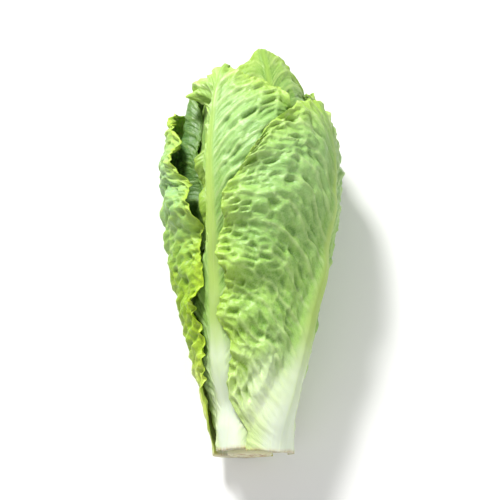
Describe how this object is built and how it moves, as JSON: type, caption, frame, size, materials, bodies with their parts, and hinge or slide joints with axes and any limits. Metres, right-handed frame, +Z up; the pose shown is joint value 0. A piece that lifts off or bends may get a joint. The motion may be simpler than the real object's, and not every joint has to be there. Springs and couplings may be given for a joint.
{
  "type": "romaine heart",
  "caption": "Trimmed head of cos lettuce lying on its side: long ribbed leaves wrapped round one another from a short cut stem to a loose, ruffled top.",
  "frame": {"origin": "on the surface the heart lies on, under the middle of its box", "axes": "+Y from the cut stem to the leaf tips, +Z up, +X to the side of the outermost leaf's rib"},
  "size_m": [0.1024, 0.22, 0.087],
  "materials": {
    "outer_leaf": "blistered mid-green leaf, slightly waxy, paler towards the rib and base",
    "middle_leaf": "yellow-green leaf, slightly waxy",
    "inner_leaf": "pale yellow leaf, slightly waxy",
    "cut_stem": "moist cream flesh, browned where it was cut"
  },
  "bodies": {
    "root": {"stem": "cut_stem", "leaf_01": "outer_leaf", "leaf_02": "outer_leaf", "leaf_03": "outer_leaf", "leaf_04": "middle_leaf", "leaf_05": "middle_leaf", "leaf_06": "middle_leaf", "leaf_07": "middle_leaf", "leaf_08": "middle_leaf", "leaf_09": "inner_leaf", "leaf_10": "inner_leaf", "leaf_11": "inner_leaf", "leaf_12": "inner_leaf", "leaf_13": "inner_leaf"}
  },
  "joints": []
}
